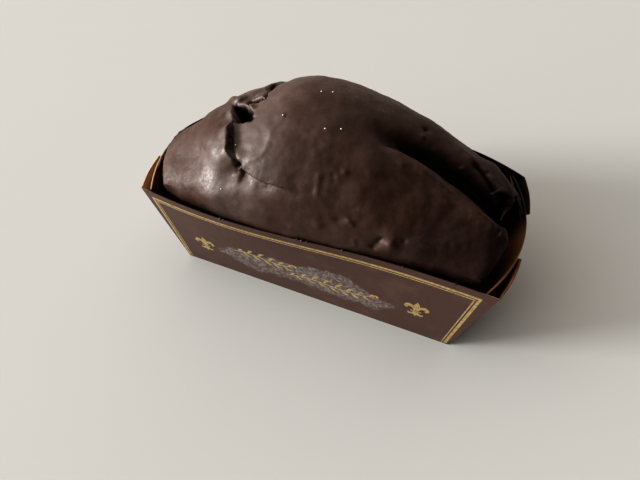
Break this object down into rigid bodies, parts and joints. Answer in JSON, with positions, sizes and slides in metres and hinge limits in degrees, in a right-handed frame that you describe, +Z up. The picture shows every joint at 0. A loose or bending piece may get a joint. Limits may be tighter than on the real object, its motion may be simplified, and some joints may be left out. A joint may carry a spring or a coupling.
{
  "type": "marble cake",
  "caption": "Uncut marble loaf cake with a cracked, domed top under a chocolate glaze, in the flared folded paper case it was baked in. It rests flat on the case's base.",
  "frame": {"origin": "on the surface it stands on, under the middle of the case's base", "axes": "+X along the loaf to the end with the long crack, -Y out of the printed front wall, +Z up"},
  "size_m": [0.212, 0.1046, 0.1144],
  "materials": {
    "printed_paper": "dark brown satin print outside, plain kraft inside the corner webs",
    "marble_sponge": "matt sponge crumb, hidden under the glaze",
    "chocolate_glaze": "set chocolate with a satin sheen"
  },
  "bodies": {
    "root": {"case": "printed_paper", "cake": "marble_sponge", "glaze": "chocolate_glaze"}
  },
  "joints": []
}
